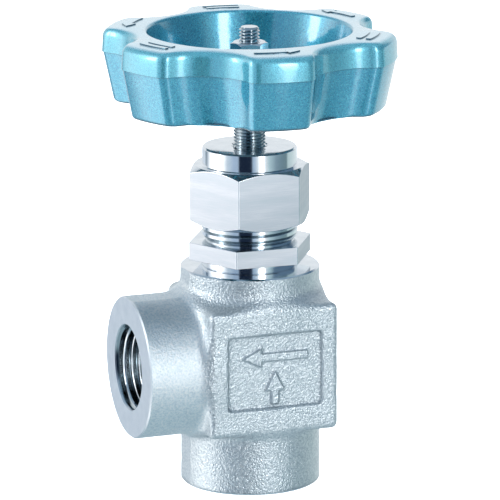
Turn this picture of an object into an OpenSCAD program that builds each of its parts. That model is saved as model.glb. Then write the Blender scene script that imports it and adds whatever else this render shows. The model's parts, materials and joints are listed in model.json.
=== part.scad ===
// Hand-operated angle needle valve: cast body, screwed bonnet, V-ring packing and a non-rotating needle.
// Origin at the centre of the inlet face. +Z runs up the stem, and the outlet faces -X. Shown closed.

/* [Ports] */
// Outside diameter of the inlet end and of the neck
port_d = 34; // [33:0.5:35]
// Outside diameter of the outlet end
outlet_d = 34.8; // [33:0.1:35]
// Major diameter of the pipe thread in both ends
pipe_thread_d = 20.96; // [20.5:0.02:21.5]
// Length of the pipe thread in both ends
pipe_thread_l = 15; // [12:0.5:15]
// Distance from the stem axis to the outlet face
outlet_reach = 31.4; // [31:0.1:36]
// Height of the outlet axis above the inlet face
outlet_z = 30.65; // [30.6:0.05:31]

/* [Cast block] */
// Half width of the block, along X
block_x = 16.4; // [16:0.1:17]
// Half depth of the block, along Y
block_y = 17.9; // [17.6:0.1:18.5]
// Bottom of the block
block_bottom_z = 15.2; // [14:0.1:16]
// Top of the block, the shelf around the neck
block_top_z = 46.8; // [45:0.1:48]
// Radius of the block's upright edges
block_edge_r = 1.3; // [1:0.1:3]
// Width of the sunk panel on the front and back
panel_w = 24.4; // [20:0.2:26]
// Height of the sunk panel
panel_h = 18.7; // [16:0.1:20]
// Depth of the sunk panel
panel_depth = 1; // [0.6:0.1:1.4]
// Height of the neck above the inlet face
neck_z = 54; // [53.5:0.1:54]

/* [Seat and needle] */
// Diameter of the orifice below the needle
orifice_d = 6; // [5.6:0.1:6]
// Height of the sharp lower edge of the seat
seat_z = 25; // [24.8:0.1:25]
// Included angle of the seat and of the needle's sealing cone
seat_angle = 60; // [55:1:60]
// Diameter of the chamber around the needle
chamber_d = 14; // [13:0.5:15]
// Outside diameter of the needle's holder end
needle_d = 10.4; // [10:0.1:11]
// Diameter of the thrust ball under the stem
ball_d = 3; // [2.8:0.1:3]
// Diameter of the two pins that hang the needle on the stem
pin_d = 1.6; // [1.4:0.1:1.6]

/* [Stem] */
// Diameter of the polished part that runs in the packing
stem_d = 7; // [6.8:0.1:7]
// Major diameter of the thread that lifts the stem
stem_thread_d = 8; // [8:0.1:8.2]
// Width of the square that carries the handwheel
square_w = 5.6; // [5:0.1:5.6]
// Major diameter of the thread for the handwheel nut
tip_thread_d = 5; // [4.8:0.1:5]
// Top of the stem above the inlet face
stem_top_z = 112.7; // [111:0.1:114]

/* [Bonnet and packing nut] */
// Width across flats of both hexagons
hex_af = 27; // [26.8:0.1:28]
// Diameter of the thread that screws the bonnet into the neck
bonnet_thread_d = 20; // [19:0.5:20.5]
// Diameter of the round shoulder on the neck's top face
shoulder_d = 23.2; // [23:0.1:24]
// Diameter of the upper thread that takes the packing nut
gland_thread_d = 23.3; // [23:0.1:23.6]
// Diameter of the packing chamber
packing_d = 13; // [12.5:0.1:13.5]
// Diameter of the round collar on the packing nut
collar_d = 23.1; // [22:0.1:24]
// Turn of the bonnet's hexagon about the stem
bonnet_turn = -1.7; // [-30:0.1:30]
// Turn of the packing nut's hexagon about the stem
packing_nut_turn = 0.6; // [-30:0.1:30]

/* [Handwheel] */
// Diameter over the lobes
wheel_d = 72; // [70:0.5:76]
// Number of lobes
lobes = 6; // [6:1:6]
// Smallest radius, in the middle of each scallop
valley_r = 29.2; // [28.6:0.1:30]
// Radius of the scallops between the lobes
scallop_r = 14.1; // [13:0.1:15]
// Diameter of the bowl at the top
bowl_d = 49.5; // [47:0.5:50]
// Turn of the first lobe about the stem
wheel_turn = 23.5; // [0:0.5:60]
// Underside of the rim above the inlet face
wheel_bottom_z = 93.45; // [93:0.05:94]
// Top face of the rim above the inlet face
wheel_top_z = 112.1; // [111:0.1:113]
// Height of the parting line around the rim
parting_z = 105.95; // [104:0.05:107]
// Inward draft of the skirt below the parting line, in degrees
skirt_draft = 12; // [8:1:14]

/* [Hidden] */
$fn = 96;

// Finishes
cast_steel = [0.78, 0.81, 0.84];
turned_steel = [0.85, 0.87, 0.90];
hard_steel = [0.62, 0.65, 0.70];
white_packing = [0.94, 0.94, 0.90];
graphite = [0.25, 0.25, 0.27];
wheel_blue = [0.24, 0.58, 0.70];

// Clearances
over = 1;            // how far a cutting shape passes through a face
run_gap = 0.05;      // radial gap of a running fit or a screwed running thread
screw_gap = 0.03;    // radial gap in a screwed joint that stays tight
seal_gap = 0.05;     // gap between the needle and its seat, and on the thrust ball
ring_gap = 0.02;     // gap between packing rings

// Ports and passages
port_r = port_d / 2;
pipe_r = pipe_thread_d / 2;
pipe_thread_h = 1.16;
tap_drill_r = pipe_r - pipe_thread_h;
drill_point = 59;    // half angle of a drill's point
orifice_r = orifice_d / 2;
chamber_r = chamber_d / 2;
outlet_passage_r = 4.5;
passage_end_x = -6;  // where the outlet's passage ends inside the chamber
seat_slope = tan(seat_angle / 2);
seat_h = 1;
chamber_floor_z = seat_z + seat_h;
ledge_z = 42;        // ledge that the bonnet gasket lies on
port_root_x = -10;   // where the outlet's cylinder ends inside the block
panel_centre_x = 0.2;
panel_centre_z = 31.15;
panel_corner_r = 1;

// Raised flow marks in the panel
mark_h = 0.6;
mark_bar = 2.2;
mark_head = 5.2;
out_mark_l = 17;
out_mark_z = 3.6;    // above the panel's middle
up_mark_l = 8.5;
up_mark_z = -4;

// Bonnet
bonnet_r = bonnet_thread_d / 2;
gasket_h = 1;
gasket_in_r = 7.2;
bonnet_foot_z = ledge_z + gasket_h;
nose_r = 6.6;
nose_z = 41.6;
back_seat_r = 5.3;
relief_r = bonnet_r - 0.8;
relief_h = 1.6;
shoulder_h = 2.1;
bonnet_hex_z = neck_z + shoulder_h;
bonnet_hex_h = 4.3;
gland_thread_z = bonnet_hex_z + bonnet_hex_h;
bonnet_top_z = 73.4;
gland_thread_r = gland_thread_d / 2;
edge_chamfer = 0.5;
corner_cut = 1.2;    // how much a turned chamfer takes off a hexagon's corners, along the axis
face_inset = 0.2;    // how far inside the flats a hexagon's turned face ends

// Packing, from the bottom of its chamber up
packing_z = 56;
packing_out_r = packing_d / 2 - ring_gap;
packing_in_r = stem_d / 2 + run_gap;
packing_mid_r = (packing_out_r + packing_in_r) / 2;
support_h = 1.2;
vee_h = 1.2;         // rise of the V
adapter_h = 1.2;     // height of an adapter at its thin edge
ring_h = 1.8;
ring_count = 4;
adapter_z = packing_z + support_h;
rings_z = adapter_z + adapter_h + ring_gap;
top_adapter_z = rings_z + ring_count * (ring_h + ring_gap);
top_adapter_top_z = top_adapter_z + vee_h + adapter_h;

// Gland and packing nut
gland_z = top_adapter_top_z;
gland_flange_z = 74.4;
gland_flange_r = 10.5;
gland_relief_z = 71;
gland_relief_r = 4.3;
nut_z = 64.8;
nut_roof_z = 76;
nut_hex_h = 14.24;
collar_z = nut_z + nut_hex_h;
collar_h = 4.46;
collar_r = collar_d / 2;
collar_chamfer = 0.4;
countersink_h = 0.5;

// Needle
needle_r = needle_d / 2;
needle_point_z = 19.4;
needle_point_r = 0.5;
needle_flank_z = 20.6;
needle_flank_r = 1.9;
sealing_low_z = seat_z - 0.5;
sealing_high_z = seat_z + 1.5;
holder_z = 27.7;
needle_top_z = 37.4;
needle_top_chamfer = 1;
socket_r = 3;
socket_floor_z = 28.2;
ball_pocket_h = 1.2;
ball_z = socket_floor_z + seal_gap + ball_d / 2;
stem_end_z = ball_z + ball_d / 2 + seal_gap;
groove_r = 2.1;
pin_lift = 0.95;     // from the stem's end to the underside of the pins
pin_z = stem_end_z + pin_lift + pin_d / 2;
pin_y = groove_r + run_gap + pin_d / 2;
pin_l = 8;
spigot_r = socket_r - run_gap;
spigot_top_z = 38;
spigot_chamfer = 0.3;

// Stem
stem_r = stem_d / 2;
thread_low_z = 72;
thread_runout = 0.5;
square_z = 95.7;
square_top_z = 102.5;
tip_chamfer = 0.6;

// Handwheel and its fixings
hub_r = 8;
hub_top_z = 102.7;
floor_z = 97;
floor_top_z = 100;
bowl_draft_r = 2.1;  // how much narrower the bowl is at its floor
bowl_wall = 2.3;
skirt_wall = 2.6;
pocket_top_z = 107.6;
top_round = 1;
foot_round = 2.2;
rib_w = 2.4;
square_gap = 0.04;   // radial play of the wheel's square hole on the stem
recess_r = 22.4;
step_w = 0.25;       // how far the band stands proud of the skirt
outline_points = 144;
blend = 0.55;        // softness of the lobes' corners
wheel_r = wheel_d / 2;
scallop_centre = valley_r + scallop_r;
skirt_h = parting_z - wheel_bottom_z;
washer_h = 1;
washer_r = 5;
spring_h = 1.3;
spring_r = 4.6;
spring_cut = 1;
tip_r = tip_thread_d / 2;
small_nut_af = 8;
small_nut_h = 4;
small_nut_turn = 44.3;
small_nut_cut = 0.4;
washer_play = 0.15;
spring_play = 0.1;
washer_z = hub_top_z;
spring_z = washer_z + washer_h;
small_nut_z = spring_z + spring_h;

// A solid of revolution about the stem axis, from [radius, height] points
module turned(points) {
    rotate_extrude() polygon(points);
}

// A straight hole or bar about the stem axis
module rod(r, z0, z1) {
    translate([0, 0, z0]) cylinder(r = r, h = z1 - z0);
}

// A cone between two heights on the stem axis
module cone(r0, z0, r1, z1) {
    translate([0, 0, z0]) cylinder(r1 = r0, r2 = r1, h = z1 - z0);
}

// A plain hexagonal bar
module hexagon(af, z0, z1, turn) {
    translate([0, 0, z0]) rotate(turn) cylinder(r = af / 2 / cos(30), h = z1 - z0, $fn = 6);
}

// A hexagonal bar with its corners turned off at both ends
module turned_hexagon(af, z0, z1, turn, cut) {
    clear_r = af / 2 / cos(30) + over / 2;
    flat_r = af / 2 - face_inset;
    intersection() {
        hexagon(af, z0, z1, turn);
        turned([[0, z0], [flat_r, z0], [clear_r, z0 + cut], [clear_r, z1 - cut], [flat_r, z1], [0, z1]]);
    }
}

// A rectangle with round corners, centred on the origin
module round_rectangle(w, h, r) {
    square([w - 2 * r, h], center = true);
    square([w, h - 2 * r], center = true);
    for (x = [-1, 1], y = [-1, 1])
        translate([x * (w / 2 - r), y * (h / 2 - r)]) circle(r = r, $fn = 32);
}

// The solid casting: inlet and neck in one column, the outlet and the block around their crossing
module casting() {
    rod(port_r, 0, neck_z);
    translate([-outlet_reach, 0, outlet_z]) rotate([0, 90, 0])
        cylinder(d = outlet_d, h = outlet_reach + port_root_x);
    translate([0, 0, block_bottom_z]) linear_extrude(block_top_z - block_bottom_z)
        round_rectangle(2 * block_x, 2 * block_y, block_edge_r);
}

// One end's thread and the drill's cone behind it, along +Z from its mouth
module port_hole(passage_r) {
    translate([0, 0, -over]) cylinder(r = pipe_r, h = pipe_thread_l + over);
    cone(tap_drill_r, pipe_thread_l, passage_r,
         pipe_thread_l + (tap_drill_r - passage_r) / tan(drill_point));
}

// Everything that the fluid and the bonnet need inside the body
module passages() {
    port_hole(orifice_r);
    rod(orifice_r, pipe_thread_l, seat_z + over / 2);
    cone(orifice_r, seat_z, orifice_r + seat_h * seat_slope, chamber_floor_z);
    rod(chamber_r, chamber_floor_z, ledge_z + over);
    rod(bonnet_r, ledge_z, neck_z + over);
    translate([-outlet_reach, 0, outlet_z]) rotate([0, 90, 0]) {
        port_hole(outlet_passage_r);
        translate([0, 0, pipe_thread_l])
            cylinder(r = outlet_passage_r, h = outlet_reach + passage_end_x - pipe_thread_l);
    }
}

// An arrow along +X, centred on the origin, as a flow mark
module arrow(length) {
    square([length - mark_head, mark_bar], center = true);
    translate([length / 2 - mark_head, 0])
        polygon([[0, -mark_head / 2], [mark_head, 0], [0, mark_head / 2]]);
}

// The sunk panel on one face, less the raised flow arrows that stay standing in it
module panel_cut(outlet_side) {
    translate([panel_centre_x * outlet_side, -block_y - over, panel_centre_z]) rotate([-90, 0, 0])
        difference() {
            linear_extrude(panel_depth + over) round_rectangle(panel_w, panel_h, panel_corner_r);
            translate([0, -out_mark_z, over + panel_depth - mark_h]) linear_extrude(over)
                mirror([outlet_side > 0 ? 1 : 0, 0]) arrow(out_mark_l);
            translate([0, -up_mark_z, over + panel_depth - mark_h]) linear_extrude(over)
                rotate(-90) arrow(up_mark_l);
        }
}

module valve_body() {
    color(cast_steel) difference() {
        casting();
        passages();
        panel_cut(1);
        rotate(180) panel_cut(-1);
    }
}

module bonnet() {
    color(turned_steel) difference() {
        union() {
            turned([[0, nose_z], [nose_r, nose_z], [nose_r, bonnet_foot_z],
                    [bonnet_r - screw_gap, bonnet_foot_z], [bonnet_r - screw_gap, neck_z - relief_h],
                    [relief_r, neck_z - relief_h], [relief_r, neck_z], [shoulder_d / 2, neck_z],
                    [shoulder_d / 2, bonnet_hex_z + over / 2], [0, bonnet_hex_z + over / 2]]);
            hexagon(hex_af, bonnet_hex_z, gland_thread_z, bonnet_turn);
            turned([[0, bonnet_hex_z], [gland_thread_r, bonnet_hex_z],
                    [gland_thread_r, bonnet_top_z - edge_chamfer],
                    [gland_thread_r - edge_chamfer, bonnet_top_z], [0, bonnet_top_z]]);
        }
        rod(stem_r + run_gap, nose_z - over, packing_z + over);
        cone(back_seat_r, nose_z, stem_r + run_gap, nose_z + back_seat_r - stem_r - run_gap);
        rod(packing_d / 2, packing_z, bonnet_top_z + over);
    }
}

module bonnet_gasket() {
    color(graphite) difference() {
        rod(bonnet_r - screw_gap, ledge_z, bonnet_foot_z);
        rod(gasket_in_r, ledge_z - over, bonnet_foot_z + over);
    }
}

// Radius of the needle's sealing cone at a height, a seal_gap above the seat
function cone_r(z) = orifice_r + (z - seat_z - seal_gap) * seat_slope;

module needle() {
    color(hard_steel) difference() {
        turned([[0, needle_point_z], [needle_point_r, needle_point_z], [needle_flank_r, needle_flank_z],
                [cone_r(sealing_low_z), sealing_low_z], [cone_r(sealing_high_z), sealing_high_z],
                [needle_r, holder_z], [needle_r, needle_top_z - needle_top_chamfer],
                [needle_r - needle_top_chamfer, needle_top_z], [0, needle_top_z]]);
        rod(socket_r, socket_floor_z + ball_pocket_h, needle_top_z + over);
        rod(ball_d / 2 + run_gap, socket_floor_z, needle_top_z);
        for (side = [-1, 1])
            translate([-needle_r, side * pin_y, pin_z]) rotate([0, 90, 0])
                cylinder(r = pin_d / 2, h = needle_d, $fn = 48);
    }
}

module needle_pins() {
    color(turned_steel) for (side = [-1, 1])
        translate([-pin_l / 2, side * pin_y, pin_z]) rotate([0, 90, 0])
            cylinder(r = pin_d / 2 - ring_gap / 2, h = pin_l, $fn = 48);
}

module thrust_ball() {
    color(turned_steel) translate([0, 0, ball_z]) sphere(r = ball_d / 2);
}

module stem() {
    groove_low_z = pin_z - pin_d / 2 - 2 * run_gap;
    groove_high_z = pin_z + pin_d / 2 + 2 * run_gap;
    thread_r = stem_thread_d / 2;
    color(turned_steel) {
        turned([[0, stem_end_z], [spigot_r - spigot_chamfer, stem_end_z],
                [spigot_r, stem_end_z + spigot_chamfer], [spigot_r, groove_low_z],
                [groove_r, groove_low_z], [groove_r, groove_high_z], [spigot_r, groove_high_z],
                [spigot_r, spigot_top_z], [stem_r, spigot_top_z],
                [stem_r, thread_low_z], [thread_r, thread_low_z + thread_runout],
                [thread_r, square_z - thread_runout], [thread_r - thread_runout, square_z], [0, square_z]]);
        translate([-square_w / 2, -square_w / 2, square_z])
            cube([square_w, square_w, square_top_z - square_z]);
        turned([[0, square_top_z], [tip_r, square_top_z], [tip_r, stem_top_z - tip_chamfer],
                [tip_r - tip_chamfer, stem_top_z], [0, stem_top_z]]);
    }
}

module packing_support_washer() {
    color(turned_steel) difference() {
        rod(packing_out_r, packing_z, adapter_z);
        rod(packing_in_r, packing_z - over, adapter_z + over);
    }
}

module packing_bottom_adapter() {
    edge_z = adapter_z + adapter_h;
    color(turned_steel) turned([[packing_in_r, adapter_z], [packing_out_r, adapter_z],
                                [packing_out_r, edge_z], [packing_mid_r, edge_z + vee_h],
                                [packing_in_r, edge_z]]);
}

// One V-ring of the packing, numbered from the bottom
module packing_ring(number) {
    z0 = rings_z + (number - 1) * (ring_h + ring_gap);
    color(white_packing) turned([[packing_in_r, z0], [packing_mid_r, z0 + vee_h], [packing_out_r, z0],
                                 [packing_out_r, z0 + ring_h], [packing_mid_r, z0 + ring_h + vee_h],
                                 [packing_in_r, z0 + ring_h]]);
}

module packing_top_adapter() {
    color(turned_steel) turned([[packing_in_r, top_adapter_z], [packing_mid_r, top_adapter_z + vee_h],
                                [packing_out_r, top_adapter_z], [packing_out_r, top_adapter_top_z],
                                [packing_in_r, top_adapter_top_z]]);
}

module gland_follower() {
    color(turned_steel) difference() {
        union() {
            rod(packing_out_r, gland_z, nut_roof_z);
            rod(gland_flange_r, gland_flange_z, nut_roof_z);
        }
        rod(packing_in_r, gland_z - over, nut_roof_z);
        rod(gland_relief_r, gland_relief_z, nut_roof_z + over);
    }
}

module packing_nut() {
    collar_top_z = collar_z + collar_h;
    stem_hole_r = stem_thread_d / 2 + run_gap;
    color(turned_steel) difference() {
        union() {
            turned_hexagon(hex_af, nut_z, collar_z, packing_nut_turn, corner_cut);
            turned([[0, collar_z - over], [collar_r, collar_z - over],
                    [collar_r, collar_top_z - collar_chamfer], [collar_r - collar_chamfer, collar_top_z],
                    [0, collar_top_z]]);
        }
        rod(gland_thread_r + screw_gap, nut_z - over, nut_roof_z);
        rod(stem_hole_r, nut_roof_z - over, collar_top_z + over);
        cone(stem_hole_r, collar_top_z - countersink_h, stem_hole_r + 2 * countersink_h,
             collar_top_z + countersink_h);
    }
}

// Radius of the wheel's outline at an angle from the middle of a scallop: the outer circle and the
// scallop's near side, blended where they meet
function scallop_reach(a) =
    let (half = scallop_r * scallop_r - pow(scallop_centre * sin(a), 2))
    half > 0 ? scallop_centre * cos(a) - sqrt(half) : 2 * wheel_r;
function outline_r(a) =
    -blend * ln(exp(-(wheel_r - valley_r) / blend) + exp(-(scallop_reach(a) - valley_r) / blend)) + valley_r;
function from_scallop(a) = let (pitch = 360 / lobes, t = a + pitch / 2) t - pitch * round(t / pitch);

// The wheel's outline, drawn in by an inset all round
module wheel_outline(inset) {
    polygon([for (i = [0 : outline_points - 1])
        let (a = i * 360 / outline_points, r = outline_r(from_scallop(a)) - inset) [r * cos(a), r * sin(a)]]);
}

// A layer of the wheel between two heights, from one inset to another, as seen from below
module wheel_layer(z0, z1, inset, shrink) {
    translate([0, 0, z1]) mirror([0, 0, 1])
        linear_extrude(z1 - z0, scale = 1 - shrink / wheel_r) wheel_outline(inset);
}

module wheel_shell() {
    skirt_shrink = (skirt_h - foot_round) * tan(skirt_draft);
    translate([0, 0, wheel_top_z - top_round])
        linear_extrude(top_round, scale = 1 - top_round / wheel_r) wheel_outline(0);
    wheel_layer(parting_z, wheel_top_z - top_round, 0, 0);
    wheel_layer(wheel_bottom_z + foot_round, parting_z, step_w, skirt_shrink);
    wheel_layer(wheel_bottom_z, wheel_bottom_z + foot_round, step_w + skirt_shrink, foot_round / 2);
}

module handwheel() {
    skirt_shrink = skirt_h * tan(skirt_draft);
    hole_w = square_w + 2 * square_gap;
    rib_z = wheel_bottom_z + foot_round / 2;
    bowl_r = bowl_d / 2;
    color(wheel_blue) rotate(wheel_turn) difference() {
        union() {
            difference() {
                wheel_shell();
                cone(bowl_r - bowl_draft_r, floor_top_z, bowl_r, wheel_top_z);
                rod(bowl_r, wheel_top_z, wheel_top_z + over);
                rod(recess_r, wheel_bottom_z - over, floor_z);
                translate([0, 0, wheel_bottom_z - over]) linear_extrude(pocket_top_z - wheel_bottom_z + over)
                    difference() {
                        wheel_outline(skirt_wall + skirt_shrink);
                        circle(r = bowl_r + bowl_wall);
                    }
            }
            rod(hub_r, square_z, hub_top_z);
            for (i = [0 : lobes - 1]) rotate(i * 360 / lobes)
                translate([hub_r - over, -rib_w / 2, rib_z])
                    cube([recess_r - hub_r + 2 * over, rib_w, floor_z - rib_z + over]);
        }
        rotate(-wheel_turn) translate([-hole_w / 2, -hole_w / 2, wheel_bottom_z])
            cube([hole_w, hole_w, hub_top_z - wheel_bottom_z + over]);
    }
}

module plain_washer() {
    color(turned_steel) difference() {
        rod(washer_r, washer_z, spring_z);
        rod(tip_r + washer_play, washer_z - over, spring_z + over);
    }
}

module spring_washer() {
    color(turned_steel) difference() {
        rod(spring_r, spring_z, small_nut_z);
        rod(tip_r + spring_play, spring_z - over, small_nut_z + over);
        translate([0, -spring_cut / 2, spring_z - over])
            cube([spring_r + over, spring_cut, spring_h + 2 * over]);
    }
}

module handwheel_nut() {
    color(turned_steel) difference() {
        turned_hexagon(small_nut_af, small_nut_z, small_nut_z + small_nut_h, small_nut_turn, small_nut_cut);
        rod(tip_r + screw_gap, small_nut_z - over, small_nut_z + small_nut_h + over);
    }
}

valve_body();
bonnet();
bonnet_gasket();
needle();
needle_pins();
thrust_ball();
stem();
packing_support_washer();
packing_bottom_adapter();
packing_ring(1);  // packing_ring_1
packing_ring(2);  // packing_ring_2
packing_ring(3);  // packing_ring_3
packing_ring(4);  // packing_ring_4
packing_top_adapter();
gland_follower();
packing_nut();
handwheel();
plain_washer();
spring_washer();
handwheel_nut();
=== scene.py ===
"""The looks of a hand-operated angle needle valve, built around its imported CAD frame.
Lengths are in metres."""
import json
import math

import bmesh
import bpy
import numpy as np
from mathutils import Matrix, Vector


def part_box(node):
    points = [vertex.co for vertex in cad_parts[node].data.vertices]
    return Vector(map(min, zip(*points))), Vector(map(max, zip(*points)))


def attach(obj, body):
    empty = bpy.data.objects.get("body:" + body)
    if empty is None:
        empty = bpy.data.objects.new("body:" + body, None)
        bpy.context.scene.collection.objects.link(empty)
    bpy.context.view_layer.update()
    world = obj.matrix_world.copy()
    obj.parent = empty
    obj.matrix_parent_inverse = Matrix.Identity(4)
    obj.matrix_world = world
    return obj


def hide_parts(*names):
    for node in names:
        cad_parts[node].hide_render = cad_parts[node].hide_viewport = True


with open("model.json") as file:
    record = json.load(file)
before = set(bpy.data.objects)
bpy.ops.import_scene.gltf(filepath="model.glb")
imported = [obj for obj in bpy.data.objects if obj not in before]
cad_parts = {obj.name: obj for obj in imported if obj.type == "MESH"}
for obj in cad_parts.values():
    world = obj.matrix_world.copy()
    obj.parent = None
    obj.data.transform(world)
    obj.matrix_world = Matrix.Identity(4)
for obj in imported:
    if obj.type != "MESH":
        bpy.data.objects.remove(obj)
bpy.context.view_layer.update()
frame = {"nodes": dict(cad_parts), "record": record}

MM = 0.001
TAU = 2 * math.pi


# ---------------------------------------------------------------- places taken from the frame

def low(node, axis=2):
    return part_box(node)[0][axis]


def high(node, axis=2):
    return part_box(node)[1][axis]


MOUNTS = {mount["name"]: mount for mount in frame["record"]["mounts"]}
PORT_THREAD_R = MOUNTS["inlet_port"]["dims"]["r_mm"] * MM
PORT_THREAD_L = MOUNTS["inlet_port"]["dims"]["length_mm"] * MM
OUTLET_X, _, OUTLET_Z = MOUNTS["outlet_port"]["pos_m"]
BLOCK_Y = high("valve_body", 1)
NECK_TOP = high("valve_body")

# Cast body
COLUMN_R = high("valve_body", 0)
OUTLET_R = 17.4 * MM
BLOCK_X = 16.4 * MM
BLOCK_BOTTOM = 15.2 * MM
BLOCK_TOP = 46.8 * MM
BLOCK_EDGE_R = 1.4 * MM
BLOCK_REAR_R = 5 * MM
BLOCK_SOFTNESS = 2 * MM
NECK_FILLET = 4.2 * MM
PORT_FILLET = 3.6 * MM
FOOT_FILLET = 2.2 * MM
FLASH_CUT = 0.29 * MM        # how far the parting line's flash was ground off
RIM_CHAMFER = 0.35 * MM
PANEL = {"x": 0.2 * MM, "z": 31.15 * MM, "half_w": 12.2 * MM, "half_h": 9.35 * MM, "depth": 0.9 * MM}
PANEL_CORNER_R = 1.2 * MM
PANEL_SLOPE = 0.5
MARK_SLOPE = 0.5
MARK_H = 0.6 * MM
UNEVEN = 0.035 * MM
WAVES = ((900, 0, 500), (0, 1100, -700), (400, 300, 1300))      # of the unevenness, in radians per metre
GRAIN_FADE = 1.4 * MM        # over which the casting's grain fades towards the outlet barrel
CAST_STEP = 0.3 * MM

# Seat, chamber and drillings
TAP_DRILL_R = PORT_THREAD_R - 1.16 * MM
PIPE_PITCH = 1.814 * MM
PIPE_TAPER = 1 / 32
MOUTH_R = PORT_THREAD_R + 0.08 * MM
DRILL_SLOPE = math.tan(math.radians(59))
ORIFICE_R = 3 * MM
SEAT_Z = 25 * MM
SEAT_H = 1 * MM
CHAMBER_R = 7 * MM
PASSAGE_R = 4.5 * MM
LEDGE_Z = low("bonnet_gasket")
BONNET_THREAD_R = 10 * MM

# Machined parts
HEX_AF = 27 * MM
HEX_EDGE_R = 0.22 * MM
FINE_EDGE = 0.12 * MM
BONNET_TURN = -1.7
NUT_TURN = 0.6
SMALL_NUT_TURN = 44.3
FINE_PITCH = 0.8 * MM
GLAND_PITCH = 1.5 * MM
STEM_THREAD_R = high("stem", 0)
PACKING_GAP = 0.05 * MM

# Handwheel
LOBES = 6
WHEEL_TURN = 23.5
WHEEL_R = 36 * MM
VALLEY_R = 29.2 * MM
SCALLOP_R = 14.1 * MM
LOBE_CORNER_R = 3 * MM
BOWL_R = 24.75 * MM
BOWL_DRAFT = 2.1 * MM
BAND_DRAFT = 0.35 * MM       # how much narrower the band above the parting line is at its top
SKIRT_H = 12.5 * MM
SKIRT_DRAFT = 12             # degrees
PARTING_Z = low("handwheel") + SKIRT_H
SEAM = 0.05 * MM             # half the width of a border between two looks of one surface


def new_object(name, data):
    item = bpy.data.objects.new(name, data)
    bpy.context.scene.collection.objects.link(item)
    return item


# ---------------------------------------------------------------- camera

CAMERA_AZIMUTH = -19.743
CAMERA_DISTANCE = 1.0563
CAMERA_HEIGHT = 0.3158
CAMERA_ROLL = -0.13
AIM_HEIGHT = 0.0573
AIM_RIGHT = 0.0001
FOCAL_LENGTH = 321.4
SENSOR = 36


def make_camera():
    azimuth = math.radians(CAMERA_AZIMUTH)
    back = CAMERA_DISTANCE
    place = Vector((back * math.sin(azimuth), -back * math.cos(azimuth), CAMERA_HEIGHT))
    right = Vector((math.cos(azimuth), math.sin(azimuth), 0))
    ahead = (Vector((0, 0, AIM_HEIGHT)) + right * AIM_RIGHT - place).normalized()
    above = right.cross(ahead)
    roll = math.radians(CAMERA_ROLL)
    level, upright = right, above
    right = level * math.cos(roll) + upright * math.sin(roll)
    above = upright * math.cos(roll) - level * math.sin(roll)
    data = bpy.data.cameras.new("camera")
    data.lens = FOCAL_LENGTH
    data.sensor_width = SENSOR
    data.clip_start = 0.01
    data.clip_end = 50
    camera = new_object("camera", data)
    camera.matrix_world = Matrix((right, above, -ahead)).transposed().to_4x4()
    camera.location = place
    bpy.context.scene.camera = camera


# ---------------------------------------------------------------- mesh kit

SHARP_ANGLE = math.radians(32)
WELD = 2e-7


def even_angles(count, start=0.0):
    return math.radians(start) + np.arange(count) * TAU / count


def rounded(points, radii, steps=4):
    """A closed outline of (radius, height) points with its corners rounded. Points may differ by column."""
    points = np.asarray(points, float)
    if points.ndim == 2:
        points = points[None]
    back = np.roll(points, 1, axis=1) - points
    ahead = np.roll(points, -1, axis=1) - points
    back_l = np.linalg.norm(back, axis=2, keepdims=True)
    ahead_l = np.linalg.norm(ahead, axis=2, keepdims=True)
    back = back / np.maximum(back_l, 1e-12)
    ahead = ahead / np.maximum(ahead_l, 1e-12)
    half = np.arccos(np.clip((back * ahead).sum(2, keepdims=True), -1, 1)) / 2
    turn = math.pi - 2 * half
    reach = np.asarray(radii)[None, :, None] / np.tan(np.maximum(half, 1e-3))
    reach = np.minimum(reach, 0.48 * np.minimum(back_l, ahead_l))
    handle = 1 - 4 / 3 * np.tan(turn / 4) / np.maximum(np.tan(turn / 2), 1e-9)
    out = []
    for corner, radius in enumerate(radii):
        centre = points[:, corner]
        if radius == 0:
            out.append(centre)
            continue
        a, b, t, h = back[:, corner], ahead[:, corner], reach[:, corner], handle[:, corner]
        for s in np.linspace(0, 1, steps + 1):
            out.append(centre + a * t * ((1 - s) ** 3 + 3 * s * (1 - s) ** 2 * h)
                       + b * t * (s ** 3 + 3 * (1 - s) * s ** 2 * h))
    out.append(out[0])
    return np.stack(out, axis=1)


def revolve(profile, angles):
    """Grid of points from (radius, height) profiles, one for all columns or one for each angle."""
    profile = np.broadcast_to(profile, (len(angles),) + np.asarray(profile).shape[-2:])
    radius, height = profile[..., 0], profile[..., 1]
    turn = np.asarray(angles)[:, None]
    return np.stack([radius * np.cos(turn), radius * np.sin(turn), height], axis=2)


def screw(angles, z0, z1, pitch, minor, major, inside, end_low, end_high, rows=14, taper=0.0, flat=0.08,
          mouth_slope=1.0):
    """A right-handed thread between two heights, and the shift in rows that closes it round the axis.
    end_low and end_high are the radii that it starts and ends at; the thread runs out on cones there.
    flat is how much of each flank's width the level stretch at the major radius takes up."""
    turns = (angles - angles[0]) / TAU
    count = math.ceil((z1 - z0) / pitch + 1) * rows + 1
    step = np.arange(count)
    z = np.clip(z0 + (step / rows + turns[:, None] - 1) * pitch, z0, z1)
    ridge = 1 - np.abs(2 * (step % rows) / rows - 1)
    radius = minor + (major - minor) * np.clip((ridge - 0.08) / (0.92 - flat), 0, 1) - taper * (z - z0)
    from_low, from_high = z - z0, z1 - z
    if inside:
        radius = np.maximum(radius, end_low - from_low * mouth_slope)
        if end_high > major:
            radius = np.maximum(radius, end_high - from_high)
        else:
            radius = np.minimum(radius, end_high + from_high)
    else:
        radius = np.minimum(radius, np.minimum(end_low + from_low, end_high + from_high))
    turn = np.asarray(angles)[:, None]
    return np.stack([radius * np.cos(turn), radius * np.sin(turn), z], axis=2), rows


def faces_of(grid, shift, start):
    count, rows = grid.shape[:2]
    index = start + np.arange(count * rows).reshape(count, rows)
    beside = np.roll(index, -1, axis=0)
    if shift:
        beside[-1] = index[0][np.clip(np.arange(rows) + shift, 0, rows - 1)]
    return np.stack([index[:, :-1], beside[:, :-1], beside[:, 1:], index[:, 1:]], axis=2).reshape(-1, 4)


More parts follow.
